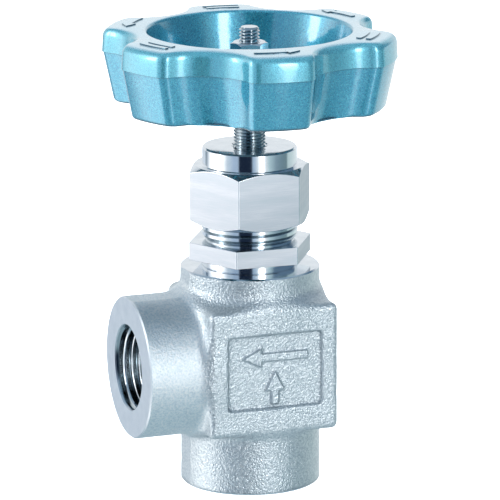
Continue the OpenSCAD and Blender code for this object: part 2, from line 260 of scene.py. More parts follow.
def object_from(name, points, faces, sharp=SHARP_ANGLE):
    mesh = bpy.data.meshes.new(name)
    mesh.from_pydata(np.asarray(points).tolist(), [], np.asarray(faces).tolist())
    work = bmesh.new()
    work.from_mesh(mesh)
    bmesh.ops.remove_doubles(work, verts=work.verts, dist=WELD)
    bmesh.ops.dissolve_degenerate(work, edges=work.edges, dist=WELD)
    bmesh.ops.recalc_face_normals(work, faces=work.faces)
    work.to_mesh(mesh)
    work.free()
    piece = new_object(name, mesh)
    shade(piece, sharp)
    return piece


def tool_from(name, points, faces):
    """A closed mesh of several separate solids whose faces may have many corners."""
    mesh = bpy.data.meshes.new(name)
    mesh.from_pydata(points, [], faces)
    work = bmesh.new()
    work.from_mesh(mesh)
    bmesh.ops.recalc_face_normals(work, faces=work.faces)
    bmesh.ops.triangulate(work, faces=work.faces)
    work.to_mesh(mesh)
    work.free()
    return new_object(name, mesh)


def shade(piece, sharp=SHARP_ANGLE):
    piece.data.polygons.foreach_set("use_smooth", np.ones(len(piece.data.polygons), bool))
    piece.data.set_sharp_from_angle(angle=sharp)


def solid(name, *grids):
    """One closed mesh from grids that meet edge to edge. A thread is given as (grid, shift)."""
    points, faces, start = [], [], 0
    for item in grids:
        grid, shift = item if isinstance(item, tuple) else (item, 0)
        points.append(grid.reshape(-1, 3))
        faces.append(faces_of(grid, shift, start))
        start += len(points[-1])
    return object_from(name, np.concatenate(points), np.concatenate(faces))


def lathe(name, outline, radii, angles=even_angles(160), steps=4):
    return solid(name, revolve(rounded(outline, radii, steps), angles))


def carve(target, tool, operation="DIFFERENCE"):
    modifier = target.modifiers.new("carve", "BOOLEAN")
    modifier.operation = operation
    modifier.solver = "MANIFOLD"
    modifier.object = tool
    ready = target.evaluated_get(bpy.context.evaluated_depsgraph_get())
    mesh = bpy.data.meshes.new_from_object(ready)
    target.modifiers.clear()
    target.data = mesh
    bpy.data.objects.remove(tool)


def turned_to_outlet(piece):
    """Turns a tool made along +Z from a mouth at the origin to run inward from the outlet face."""
    piece.data.transform(Matrix.Translation((OUTLET_X, 0, OUTLET_Z)) @ Matrix.Rotation(math.pi / 2, 4, "Y"))
    return piece


# ---------------------------------------------------------------- materials

def add(owner, kind, inputs=None, **settings):
    """A node in a material or in the world. Each input is a link or a plain value."""
    node = owner.node_tree.nodes.new("ShaderNode" + kind)
    for key, value in settings.items():
        setattr(node, key, value)
    for key, value in (inputs or {}).items():
        if isinstance(value, bpy.types.NodeSocket):
            owner.node_tree.links.new(value, node.inputs[key])
        else:
            node.inputs[key].default_value = value
    return node


def socket(shader, key):
    return shader.inputs[key.replace("_", " ").title().replace("Ior", "IOR")]


def new_material(name, **values):
    material = bpy.data.materials.new(name)
    material.use_nodes = True
    shader = material.node_tree.nodes["Principled BSDF"]
    for key, value in values.items():
        socket(shader, key).default_value = value
    return material, shader


def connect(material, shader, **outputs):
    for key, output in outputs.items():
        material.node_tree.links.new(output, socket(shader, key))
    return material


def place_of(material):
    return add(material, "TexCoord").outputs["Object"]


def part_of(owner, vector, axis):
    return add(owner, "SeparateXYZ", {0: vector}).outputs[axis]


def calculate(owner, operation, a, b=0.0):
    return add(owner, "Math", {0: a, 1: b}, operation=operation).outputs[0]


def noise(material, vector, scale, detail=2.0, roughness=0.5):
    inputs = {"Vector": vector, "Scale": scale, "Detail": detail, "Roughness": roughness}
    return add(material, "TexNoise", inputs).outputs["Fac"]


def remap(owner, value, from_low, from_high, to_low=0.0, to_high=1.0, kind="LINEAR"):
    inputs = {"Value": value, "From Min": from_low, "From Max": from_high,
              "To Min": to_low, "To Max": to_high}
    return add(owner, "MapRange", inputs, interpolation_type=kind).outputs["Result"]


def ramp(owner, value, stops):
    node = add(owner, "ValToRGB", {"Fac": value})
    points = node.color_ramp.elements
    while len(points) < len(stops):
        points.new(0.5)
    for point, (position, colour) in zip(points, stops):
        point.position = position
        point.color = colour + (1,)
    return node.outputs["Color"]


def bump(material, height, strength, distance, normal=None):
    inputs = {"Height": height, "Strength": strength, "Distance": distance}
    if normal is not None:
        inputs["Normal"] = normal
    return add(material, "Bump", inputs).outputs["Normal"]


def stretched(material, along):
    """Object coordinates squeezed so that noise runs in streaks along the axes with a small factor."""
    node = add(material, "Mapping", {"Vector": place_of(material), "Scale": along})
    return node.outputs["Vector"]


def radius_of(material):
    flat = add(material, "VectorMath", {0: place_of(material), 1: (1, 1, 0)}, operation="MULTIPLY")
    length = add(material, "VectorMath", {0: flat.outputs[0]}, operation="LENGTH")
    return length.outputs["Value"]


def mix(owner, factor, a, b):
    return add(owner, "Mix", {0: factor, 6: a, 7: b}, data_type="RGBA").outputs[2]


def mix_value(material, factor, a, b):
    return add(material, "Mix", {0: factor, 2: a, 3: b}, data_type="FLOAT").outputs[0]


def with_painted_groove_shade(material, colour, dark):
    """Painted shade: colour that darkens towards the bottom of a thread, as far as the mesh's groove
    attribute says.
    """
    groove = add(material, "Attribute", attribute_name="groove").outputs["Fac"]
    return mix(material, groove, colour, dark)


def with_painted_corner_shade(material, colour, distance, clear, shut, most_shade, dark):
    """Painted shade: colour that darkens in narrow corners, from a share of open sky of clear down to shut.
    """
    open_sky = add(material, "AmbientOcclusion", {"Distance": distance}, samples=8).outputs["AO"]
    return mix(material, remap(material, open_sky, clear, shut, 0, most_shade), colour, dark)


def cast_steel():
    """A blasted casting, grainy but for its smoother outlet barrel, with painted shade in its corners."""
    material, shader = new_material("cast_steel", metallic=1.0)
    place = place_of(material)
    grainy = remap(material, part_of(material, place, "X"), -BLOCK_X - GRAIN_FADE, -BLOCK_X)
    grain = mix_value(material, 0.6, noise(material, place, 3000, 1.0), noise(material, place, 1900, 1.0))
    bright = ramp(material, grain, [(0.36, (0.71, 0.78, 0.82)), (0.5, (0.83, 0.89, 0.91)),
                                    (0.62, (0.95, 0.96, 0.96))])
    dull = ramp(material, grain, [(0.36, (0.46, 0.52, 0.56)), (0.5, (0.56, 0.62, 0.65)),
                                  (0.62, (0.67, 0.72, 0.74))])
    colour = mix(material, grainy, bright, dull)
    strength = remap(material, grainy, 0, 1, 0.35, 0.82)
    return connect(
        material, shader,
        # painted shade in the corners and creases, and round the sunk panels and their marks
        base_color=with_painted_corner_shade(material, colour, 1.4 * MM, 0.92, 0.55, 0.85, (0.16, 0.21, 0.25, 1)),
        roughness=remap(material, grainy, 0, 1, 0.53, 0.33),
        metallic=remap(material, grainy, 0, 1, 1.0, 0.9),
        normal=bump(material, grain, strength, 0.42 * MM))


def turned_steel():
    """Lathe work: fine rings on the faces that look along the stem, fine lines round the others, and painted
    shade in the thread roots.
    """
    material, shader = new_material("turned_steel", metallic=1.0, anisotropic=0.35)
    place = place_of(material)
    rings = add(material, "CombineXYZ", {"X": radius_of(material)}).outputs["Vector"]
    on_face = noise(material, rings, 9000)
    on_side = noise(material, stretched(material, (0.03, 0.03, 1)), 9000)
    facing = part_of(material, add(material, "NewGeometry").outputs["Normal"], "Z")
    marks = mix_value(material, calculate(material, "ABSOLUTE", facing), on_side, on_face)
    colour = ramp(material, noise(material, place, 320, 3.0),
                  [(0.3, (0.74, 0.78, 0.82)), (0.7, (0.84, 0.87, 0.90))])
    face_end = OUTLET_X + RIM_CHAMFER
    outlet_face = remap(material, part_of(material, place, "X"), face_end + SEAM, face_end - SEAM)
    polish = remap(material, marks, 0.3, 0.7, 0.06, 0.12)
    return connect(
        material, shader,
        # painted shade darkens the thread roots
        base_color=with_painted_groove_shade(material, colour, (0.46, 0.52, 0.55, 1)),
        roughness=mix_value(material, outlet_face, polish, 0.3),
        normal=bump(material, marks, 0.2, 0.008 * MM))


def milled_steel():
    """The hexagons' flats, with marks along the cutter's way round."""
    material, shader = new_material("milled_steel", metallic=1.0, anisotropic=0.2)
    streaks = noise(material, stretched(material, (0.05, 0.05, 1)), 5200, 3.0, 0.6)
    broad = noise(material, stretched(material, (0.15, 0.15, 1)), 420)
    tone = remap(material, calculate(material, "ADD", streaks, broad), 0.7, 1.3)
    colour = ramp(material, tone, [(0.0, (0.52, 0.57, 0.61)), (0.5, (0.58, 0.61, 0.65)),
                                   (1.0, (0.66, 0.68, 0.71))])
    return connect(
        material, shader,
        base_color=colour,
        roughness=remap(material, streaks, 0.3, 0.7, 0.40, 0.50),
        normal=bump(material, streaks, 0.35, 0.02 * MM))


def wheel_paint():
    """Metallic enamel: flakes under a clear coat. Painted light makes it palest on the top face and pale on
    the band above the parting line; painted shade darkens the faces that look down and the narrow corners."""
    material, shader = new_material("wheel_paint", metallic=0.7, coat_weight=1.0, coat_roughness=0.06,
                                    coat_ior=1.9)
    place = place_of(material)
    flakes = add(material, "TexVoronoi", {"Vector": place, "Scale": 4200}).outputs["Color"]
    spark = remap(material, part_of(material, flakes, "X"), 0, 1, -0.22, 0.22)
    fine = noise(material, place, 2600, 2.0, 0.6)
    colour = ramp(material, calculate(material, "ADD", spark, fine),
                  [(0.1, (0.018, 0.195, 0.31)), (0.5, (0.03, 0.265, 0.39)), (0.95, (0.10, 0.42, 0.51))])
    # painted light: the band above the parting line, outside the bowl, is made paler
    above = remap(material, part_of(material, place, "Z"), PARTING_Z - SEAM, PARTING_Z + SEAM, 0, 0.36)
    outside = remap(material, radius_of(material), BOWL_R + 1.75 * MM, BOWL_R + 2.75 * MM)
    colour = mix(material, calculate(material, "MULTIPLY", above, outside), colour, (0.16, 0.48, 0.54, 1))
    facing = part_of(material, add(material, "TexCoord").outputs["Normal"], "Z")
    # painted light: the faces that look up are made palest
    up = remap(material, facing, 0.8, 0.98)
    colour = mix(material, up, colour, (0.42, 0.60, 0.68, 1))
    # painted shade: the faces that look down are made darker
    colour = mix(material, remap(material, facing, -0.35, -0.75), colour, (0.02, 0.075, 0.11, 1))
    # the painted corner shade is halved on the faces that look up
    most_shade = remap(material, up, 0, 1, 1.0, 0.5)
    flow = bump(material, noise(material, place, 240), 0.5, 0.12 * MM)
    return connect(
        material, shader,
        # painted shade in the corners, along the parting line and round the raised marks
        base_color=with_painted_corner_shade(material, colour, 0.8 * MM, 0.96, 0.5, most_shade, (0.01, 0.07, 0.12, 1)),
        roughness=remap(material, fine, 0.3, 0.7, 0.24, 0.34),
        normal=bump(material, fine, 0.25, 0.03 * MM, flow),
        coat_normal=flow)


def plain_noise(name, dark, light, scale, roughness, **values):
    material, shader = new_material(name, **values)
    grain = noise(material, place_of(material), scale, 3.0)
    return connect(
        material, shader,
        base_color=ramp(material, grain, [(0.3, dark), (0.7, light)]),
        roughness=remap(material, grain, 0.3, 0.7, roughness * 0.85, roughness * 1.15),
        normal=bump(material, grain, 0.3, 0.02 * MM))


MATERIALS = {
    "cast_steel": cast_steel(),
    "turned_steel": turned_steel(),
    "hex_steel": milled_steel(),
    "wheel_paint": wheel_paint(),
    "hard_steel": plain_noise("hard_steel", (0.50, 0.52, 0.56), (0.64, 0.66, 0.70), 1500, 0.22,
                              metallic=1.0),
    "graphite": plain_noise("graphite", (0.045, 0.045, 0.05), (0.10, 0.10, 0.11), 1800, 0.55),
    "packing": plain_noise("packing", (0.82, 0.82, 0.78), (0.90, 0.90, 0.87), 900, 0.45),
}


def finish_piece(piece, node, body, slot, *more):
    """Gives a piece its materials, lets it stand for a CAD node and rides it on that node's body."""
    piece.data.materials.clear()
    for name in (slot,) + more:
        piece.data.materials.append(MATERIALS[name])
    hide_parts(node)
    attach(piece, body)


def mark_groove_shade(piece, *threads):
    """Stores how deep each vertex lies in a thread, 0 at the crest and 1 at the root, for the shade painted
    into thread roots. A thread is a function from the vertices to their place along it and their radius,
    then its two ends, crest, root and taper."""
    count = len(piece.data.vertices)
    points = np.empty(count * 3)
    piece.data.vertices.foreach_get("co", points)
    depth = np.zeros(count)
    for where, start, end, crest, root, taper in threads:
        along, radius = where(points.reshape(-1, 3))
        share = np.clip((radius + taper * (along - start) - crest) / (root - crest), 0, 1)
        near = np.abs(radius - (crest + root) / 2) < abs(root - crest) + 0.3 * MM
        depth = np.where((along > start) & (along < end) & near, share, depth)
    piece.data.attributes.new("groove", "FLOAT", "POINT").data.foreach_set("value", depth)


def about_stem(points):
    return points[:, 2], np.hypot(points[:, 0], points[:, 1])


def about_outlet(points):
    return points[:, 0] - OUTLET_X, np.hypot(points[:, 1], points[:, 2] - OUTLET_Z)


# ---------------------------------------------------------------- valve body

def smooth_min(a, b, k):
    share = np.maximum(k - np.abs(a - b), 0) / k
    return np.minimum(a, b) - share * share * k / 4


def smooth_max(a, b, k):
    return -smooth_min(-a, -b, k)


def outline_2d(u, v, half_u, half_v, corner):
    """Distance to a rectangle with round corners. The radius may differ from point to point."""
    du, dv = np.abs(u) - half_u + corner, np.abs(v) - half_v + corner
    return np.hypot(np.maximum(du, 0), np.maximum(dv, 0)) + np.minimum(np.maximum(du, dv), 0) - corner


def polygon_2d(u, v, corners):
    """Distance to a polygon, negative inside."""
    best = np.full(u.shape, np.inf)
    inside = np.zeros(u.shape, bool)
    for (u0, v0), (u1, v1) in zip(corners, corners[1:] + corners[:1]):
        eu, ev = u1 - u0, v1 - v0
        t = np.clip(((u - u0) * eu + (v - v0) * ev) / (eu * eu + ev * ev), 0, 1)
        best = np.minimum(best, np.hypot(u - u0 - t * eu, v - v0 - t * ev))
        crosses = (v0 > v) != (v1 > v)
        where = u0 + (v - v0) * eu / (ev if ev else 1e-12)
        inside ^= crosses & (u < where)
    return np.where(inside, -best, best)


def arrow_outline(length, bar, head):
    """Corners of an arrow along +u, centred on the origin."""
    tip, neck = length / 2, length / 2 - head
    below = [(-tip, -bar / 2), (neck, -bar / 2), (neck, -head / 2)]
    above = [(u, -v) for u, v in reversed(below)]
    return below + [(tip, 0)] + above


def panel_marks(u, v):
    """Distance to the raised flow marks: in from below, out to the side."""
    out = polygon_2d(-u, v - 3.6 * MM, arrow_outline(17 * MM, 2.2 * MM, 5.2 * MM))
    up = polygon_2d(v + 4 * MM, u, arrow_outline(8.5 * MM, 2.2 * MM, 5.2 * MM))
    return np.minimum(out, up)


def casting_distance(x, y, z):
    """Signed distance to the raw casting, longer than the machined one at its three ends."""
    over = 2 * MM
    column = np.maximum(np.hypot(x, y) - COLUMN_R, np.abs(x) - COLUMN_R + FLASH_CUT)
    foot = np.maximum(column, np.maximum(-over - z, z - OUTLET_Z))
    neck = np.maximum(column, np.maximum(OUTLET_Z + 8 * MM - z, z - NECK_TOP - over))
    arm = np.maximum(np.hypot(y, z - OUTLET_Z) - OUTLET_R, np.abs(z - OUTLET_Z) - OUTLET_R + FLASH_CUT)
    arm = np.maximum(arm, np.maximum(OUTLET_X - over - x, x + 4 * MM))
    corner = np.where((x < 0) & (y > 0), BLOCK_REAR_R, BLOCK_EDGE_R)
    sides = outline_2d(x, y, BLOCK_X, BLOCK_Y, corner)
    middle, half = (BLOCK_BOTTOM + BLOCK_TOP) / 2, (BLOCK_TOP - BLOCK_BOTTOM) / 2
    block = smooth_max(sides, np.abs(z - middle) - half, BLOCK_SOFTNESS)
    body = smooth_min(block, neck, NECK_FILLET)
    body = smooth_min(body, arm, PORT_FILLET)
    body = smooth_min(body, foot, FOOT_FILLET)
    body = smooth_max(body, panel_hollow(x, y, z), 0.25 * MM)
    waves = sum(np.sin(x * a + y * b + z * c) for a, b, c in WAVES) / len(WAVES)
    return body + UNEVEN * waves


def panel_hollow(x, y, z):
    """Minus the distance to the two sunk panels, with their raised marks left standing."""
    u, v = x - PANEL["x"], z - PANEL["z"]
    above = np.abs(y) - (BLOCK_Y - PANEL["depth"])
    edge = outline_2d(u, v, PANEL["half_w"], PANEL["half_h"], PANEL_CORNER_R)
    hollow = np.maximum(edge + (PANEL["depth"] - above) * PANEL_SLOPE, -above)
    near = (np.abs(above) < 2 * MM) & (edge < 0)
    marks = np.ones(x.shape)
    marks[near] = np.maximum(panel_marks(u[near], v[near]) + above[near] * MARK_SLOPE, above[near] - MARK_H)
    return -smooth_max(hollow, -marks, 0.3 * MM)


def surface_net(distance, lowest, highest, step):
    """Closed quads over the zero surface of a distance function, with the corners moved onto it."""
    axes = [np.arange(a, b + step, step) for a, b in zip(lowest, highest)]
    value = distance(*np.meshgrid(*axes, indexing="ij"))
    inside = value < 0
    corners = [(i, j, k) for i in (0, 1) for j in (0, 1) for k in (0, 1)]
    size = [n - 1 for n in value.shape]
    count = sum(inside[i:i + size[0], j:j + size[1], k:k + size[2]].astype(np.int8) for i, j, k in corners)
    cells = np.argwhere((count > 0) & (count < 8))
    at = {c: value[tuple((cells + c).T)] for c in corners}
    total, hits = np.zeros((len(cells), 3)), np.zeros(len(cells))
    for a in corners:
        for axis in range(3):
            if a[axis]:
                continue
            b = tuple(1 if n == axis else a[n] for n in range(3))
            crossed = (at[a] < 0) != (at[b] < 0)
            share = np.where(crossed, at[a] / np.where(crossed, at[a] - at[b], 1), 0)
            spot = np.array(a, float) + share[:, None] * np.eye(3)[axis]
            total += np.where(crossed[:, None], spot, 0)
            hits += crossed
    points = np.array(lowest) + (cells + total / hits[:, None]) * step
    number = np.full(size, -1)
    number[tuple(cells.T)] = np.arange(len(cells))
    faces = []
    for axis in range(3):
        one, two = [n for n in range(3) if n != axis]
        start = [slice(None)] * 3
        end = [slice(None)] * 3
        start[axis], end[axis] = slice(0, -1), slice(1, None)
        edge = np.argwhere(inside[tuple(start)] != inside[tuple(end)])
        in_grid = [(edge[:, n] > 0) & (edge[:, n] < size[n]) for n in (one, two)]
        edge = edge[in_grid[0] & in_grid[1]]
        ring = []
        for du, dv in ((-1, -1), (0, -1), (0, 0), (-1, 0)):
            cell = edge.copy()
            cell[:, one] += du
            cell[:, two] += dv
            ring.append(number[tuple(cell.T)])
        faces.append(np.stack(ring, axis=1))
    tiny = 0.02 * MM
    for _ in range(4):
        off = distance(*points.T)
        slope = np.stack([distance(*(points + nudge).T) - distance(*(points - nudge).T)
                          for nudge in tiny * np.eye(3)], axis=1) / (2 * tiny)
        move = off[:, None] * slope / np.maximum((slope ** 2).sum(1, keepdims=True), 0.2)
        points = points - np.clip(move, -step / 2, step / 2)
    return points, np.concatenate(faces)


def box_tool(name, lowest, highest):
    corners = [(x, y, z) for x in (lowest[0], highest[0]) for y in (lowest[1], highest[1])
               for z in (lowest[2], highest[2])]
    faces = [(0, 1, 3, 2), (4, 6, 7, 5), (0, 4, 5, 1), (2, 3, 7, 6), (0, 2, 6, 4), (1, 5, 7, 3)]
    return object_from(name, corners, faces)


def port_tool(passage_r, depth):
    """The hole of one end, along +Z from its mouth: chamfer, taper pipe thread, drill point, passage."""
    angles = even_angles(144)
    drill_r = TAP_DRILL_R - PIPE_TAPER * PORT_THREAD_L
    thread = screw(angles, 0, PORT_THREAD_L, PIPE_PITCH, TAP_DRILL_R, PORT_THREAD_R, True, MOUTH_R, drill_r,
                   taper=PIPE_TAPER, flat=0.35, mouth_slope=0.5)
    point_z = PORT_THREAD_L + (drill_r - passage_r) / DRILL_SLOPE
    front = [(0, -2 * MM), (MOUTH_R + 2 * MM, -2 * MM), (MOUTH_R, 0)]
    back = [(drill_r, PORT_THREAD_L), (passage_r, point_z), (passage_r, depth), (0, depth)]
    return solid("port_tool", revolve(front, angles), thread, revolve(back, angles))


def rim_tool(r):
    """A ring that takes the sharp edge off a round end of radius r, along +Z from its face."""
    c, far = RIM_CHAMFER, 2 * MM
    outline = [(r - c - far, -far), (r + 2 * far, -far), (r + 2 * far, c + far), (r + far, c + far)]
    return lathe("rim_tool", outline, [0] * 4, even_angles(128))


def upside_down(piece, z):
    piece.data.transform(Matrix.Translation((0, 0, z)) @ Matrix.Rotation(math.pi, 4, "X"))
    return piece


def chamber_tool():
    throat_r = ORIFICE_R + SEAT_H * math.tan(math.radians(30))
    start, over, chamfer = SEAT_Z - 4 * MM, 2.2 * MM, 0.8 * MM
    outline = [(0, start), (ORIFICE_R, start), (ORIFICE_R, SEAT_Z), (throat_r, SEAT_Z + SEAT_H),
               (CHAMBER_R, SEAT_Z + SEAT_H), (CHAMBER_R, LEDGE_Z), (BONNET_THREAD_R, LEDGE_Z),
               (BONNET_THREAD_R, NECK_TOP - chamfer), (BONNET_THREAD_R + chamfer + over, NECK_TOP + over),
               (0, NECK_TOP + over)]
    return solid("chamber_tool", revolve(outline, even_angles(128)))


def make_valve_body():
    margin = 3.2 * MM
    lowest = (OUTLET_X - margin, -BLOCK_Y - margin, -margin)
    highest = (BLOCK_X + margin, BLOCK_Y + margin, NECK_TOP + margin)
    points, faces = surface_net(casting_distance, lowest, highest, CAST_STEP)
    body = object_from("valve_body_casting", points, faces)
    far = 1.0
    carve(body, box_tool("trim", (OUTLET_X, -far, 0), (far, far, NECK_TOP)), "INTERSECT")
    carve(body, port_tool(ORIFICE_R, SEAT_Z - 2 * MM))
    carve(body, turned_to_outlet(port_tool(PASSAGE_R, -OUTLET_X - 6 * MM)))
    carve(body, chamber_tool())
    carve(body, rim_tool(COLUMN_R))
    carve(body, turned_to_outlet(rim_tool(OUTLET_R)))
    carve(body, upside_down(rim_tool(COLUMN_R), NECK_TOP))
    shade(body)
    finish_piece(body, "valve_body", "housing", "cast_steel", "turned_steel")
    machined_faces(body)
    pipe = (0.3 * MM, PORT_THREAD_L, TAP_DRILL_R, PORT_THREAD_R - 0.3 * MM, PIPE_TAPER)
    mark_groove_shade(body, (about_stem,) + pipe, (about_outlet,) + pipe)


def machined_faces(body):
    """The turned material on the three end faces and in the holes."""
    for face in body.data.polygons:
        centre, normal = face.center, face.normal
        depths = ((centre.x - OUTLET_X, -normal.x), (centre.z, -normal.z), (NECK_TOP - centre.z, normal.z))
        ends = any(depth < RIM_CHAMFER and outward > 0.6 for depth, outward in depths)
        to_axis = math.hypot(centre.x, centre.y)
        to_outlet = math.hypot(centre.y, centre.z - OUTLET_Z)
        holes = to_axis < BONNET_THREAD_R + 1.5 * MM or (to_outlet < MOUTH_R + 0.05 * MM and centre.x < 0)
        face.material_index = 1 if ends or holes else 0


# ---------------------------------------------------------------- machined parts

def hex_angles(turn):
    """Angles close together at a hexagon's corners, where its edges are rounded."""
    near = np.array([0, 0.25, 0.5, 0.8, 1.1, 1.5, 2.2, 3.5, 6, 9, 12.5, 16, 20, 25])
    one = np.concatenate([near, [30], 60 - near[:0:-1]])
    return np.radians(np.concatenate([turn + 60 * k + one for k in range(6)]))


def hex_radius(angles, across, turn, edge_r=HEX_EDGE_R):
    """Distance to a hexagon's side, with its six corners rounded."""
    away = np.mod(np.degrees(angles) - turn + 30, 60) - 30
    flat = across / 2 / np.cos(np.radians(30 - np.abs(away)))
    centre = (across / 2 - edge_r) / math.cos(math.radians(30))
    side = centre * np.sin(np.radians(away))
    arc = centre * np.cos(np.radians(away)) + np.sqrt(np.maximum(edge_r ** 2 - side ** 2, 0))
    reach = np.degrees(np.arctan2(edge_r * 0.5, centre + edge_r * math.cos(math.radians(30))))
    return np.where(np.abs(away) < reach, arc, flat)


def columns(angles, rows):
    """Profiles for each angle from rows of (radius, height), each of them one number or a column."""
    rows = [[np.broadcast_to(value, len(angles)) for value in row] for row in rows]
    return np.array(rows).transpose(2, 0, 1)


def mark_flats(piece, across, turn):
    """The second material on a hexagon's six flats."""
    for face in piece.data.polygons:
        normal = face.normal
        away = (math.degrees(math.atan2(normal.y, normal.x)) - turn) % 60 - 30
        flat = abs(normal.z) < 0.02 and abs(away) < 0.5
        reach = face.center.x * normal.x + face.center.y * normal.y
        face.material_index = 1 if flat and abs(reach - across / 2) < 0.02 * MM else 0


CHAMFER_SLOPE = math.tan(math.radians(30))


def make_packing_nut():
    angles = hex_angles(NUT_TURN)
    z0, z1 = low("packing_nut"), high("packing_nut")
    side = hex_radius(angles, HEX_AF, NUT_TURN)
    face_r = HEX_AF / 2 - 0.15 * MM
    cut = (side - face_r) * CHAMFER_SLOPE
    hex_top = z0 + 14.24 * MM
    collar_r = 11.55 * MM
    chamfer = 0.4 * MM
    bore_r = 11.68 * MM
    roof = 76 * MM
    hole_r = STEM_THREAD_R + PACKING_GAP
    sink = 0.5 * MM
    outline = columns(angles, [
        (bore_r, z0 + chamfer), (bore_r + chamfer, z0), (face_r, z0), (side, z0 + cut),
        (side, hex_top - cut), (face_r, hex_top), (collar_r, hex_top), (collar_r, z1 - chamfer),
        (collar_r - chamfer, z1), (hole_r + sink, z1), (hole_r, z1 - sink), (hole_r, roof), (bore_r, roof)])
    hex_edges = [FINE_EDGE] * 4
    radii = [0, 0.1 * MM] + hex_edges + [0.25 * MM, 0.3 * MM, 0.3 * MM, 0.05 * MM, 0.05 * MM, 0, 0]
    piece = lathe("packing_nut_body", outline, radii, angles)
    finish_piece(piece, "packing_nut", "housing", "turned_steel", "hex_steel")
    mark_flats(piece, HEX_AF, NUT_TURN)


def make_bonnet():
    angles = hex_angles(BONNET_TURN)
    z0, z1 = low("bonnet"), high("bonnet")
    side = hex_radius(angles, HEX_AF, BONNET_TURN)
    shoulder_r = 11.6 * MM
    hex_low = NECK_TOP + 2.1 * MM
    hex_high = hex_low + 4.3 * MM
    edge = 0.06 * MM
    major, minor = 11.65 * MM, 10.75 * MM
    groove = hex_high + 0.3 * MM
    screw_r = BONNET_THREAD_R - 0.03 * MM
    seat_z = high("bonnet_gasket")
    nose_r = 6.6 * MM
    bore_r = 3.55 * MM
    cup_r = 6.5 * MM
    cup_z = low("packing_support_washer")
    chamfer, relief, relief_z = 0.25 * MM, 0.8 * MM, NECK_TOP - 1.6 * MM
    mouth_r, mouth_h = 5.3 * MM, 1.75 * MM
    outer = columns(angles, [
        (minor, groove), (minor, hex_high), (side - edge, hex_high), (side, hex_high - edge),
        (side, hex_low + edge), (side - edge, hex_low), (shoulder_r, hex_low),
        (shoulder_r, NECK_TOP + chamfer), (shoulder_r - chamfer, NECK_TOP), (screw_r - relief, NECK_TOP),
        (screw_r - relief, relief_z),
        (screw_r, relief_z - relief), (screw_r, seat_z), (nose_r, seat_z), (nose_r, z0), (mouth_r, z0),
        (bore_r, z0 + mouth_h), (bore_r, cup_z), (cup_r, cup_z), (cup_r, z1), (minor, z1)])
    thread = screw(angles, groove, z1, GLAND_PITCH, minor, major, False, minor, minor, rows=16, flat=0.55)
    piece = solid("bonnet_body", revolve(outer, angles), thread)
    finish_piece(piece, "bonnet", "housing", "turned_steel", "hex_steel")
    mark_flats(piece, HEX_AF, BONNET_TURN)
    mark_groove_shade(piece, (about_stem, groove, z1 - edge, major, minor + 0.25 * MM, 0))


def square_radius(angles, half, corner_r):
    """Distance to a square's side, with its four corners turned down."""
    away = np.mod(np.degrees(angles) + 45, 90) - 45
    return np.minimum(half / np.cos(np.radians(away)), corner_r)


def make_stem():
    angles = even_angles(96)
    z0, z1 = low("stem"), high("stem")
    rod_r = 3.5 * MM
    root_r = STEM_THREAD_R - 0.48 * MM
    thread_low = 72 * MM
    square_low = high("packing_nut") + 12.2 * MM
    square_high = high("handwheel_nut") - 6.5 * MM
    tip_r, tip_root = 2.5 * MM, 2.03 * MM
    spigot_r, groove_r = 2.95 * MM, 2.1 * MM
    shoulder_z = 38 * MM
    chamfer = 0.3 * MM
    pin_low, pin_high = low("needle_pins") - 0.1 * MM, high("needle_pins") + 0.1 * MM
    foot = [(0, z0), (spigot_r - chamfer, z0), (spigot_r, z0 + chamfer), (spigot_r, pin_low),
            (groove_r, pin_low), (groove_r, pin_high), (spigot_r, pin_high), (spigot_r, shoulder_z),
            (rod_r, shoulder_z), (rod_r, thread_low), (root_r, thread_low)]
    square = square_radius(angles, 2.8 * MM, 3.85 * MM)
    neck = columns(angles, [(root_r - 0.1 * MM, square_low), (square, square_low), (square, square_high),
                            (tip_root, square_high)])
    lifting = screw(angles, thread_low, square_low, FINE_PITCH, root_r, STEM_THREAD_R, False, root_r,
                    root_r - 0.1 * MM)
    end_r = 1.95 * MM
    tip = screw(angles, square_high, z1, FINE_PITCH, tip_root, tip_r, False, tip_root, end_r)
    top = [(end_r, z1), (0, z1)]
    piece = solid("stem_rod", revolve(foot, angles), lifting, revolve(neck, angles), tip,
                  revolve(top, angles))
    finish_piece(piece, "stem", "stem_unit", "turned_steel")
    slack, fillet = 0.1 * MM, 0.12 * MM
    mark_groove_shade(piece, (about_stem, thread_low, square_low - slack, STEM_THREAD_R, root_r + fillet, 0),
                 (about_stem, square_high + slack, z1 - slack, tip_r, tip_root + fillet, 0))


def make_small_nut():
    across, turn = 8 * MM, SMALL_NUT_TURN
    angles = hex_angles(turn)
    z0, z1 = low("handwheel_nut"), high("handwheel_nut")
    side = hex_radius(angles, across, turn, 0.1 * MM)
    face_r = across / 2 - 0.15 * MM
    cut = (side - face_r) * CHAMFER_SLOPE
    hole_r, sink = 2.53 * MM, 0.3 * MM
    outline = columns(angles, [
        (hole_r + sink, z0), (face_r, z0), (side, z0 + cut), (side, z1 - cut), (face_r, z1),
        (hole_r + sink, z1), (hole_r, z1 - sink), (hole_r, z0 + sink)])
    edge = 0.06 * MM
    piece = lathe("handwheel_nut_body", outline, [edge] * 8, angles, 3)
    finish_piece(piece, "handwheel_nut", "stem_unit", "turned_steel")


def make_ring(node, body, slot, inner_r, edge=0.1 * MM):
    """A plain ring with softened edges, from its CAD box."""
    r, z0, z1 = high(node, 0), low(node), high(node)
    piece = lathe(node + "_ring", [(inner_r, z0), (r, z0), (r, z1), (inner_r, z1)], [edge] * 4)
    finish_piece(piece, node, body, slot)


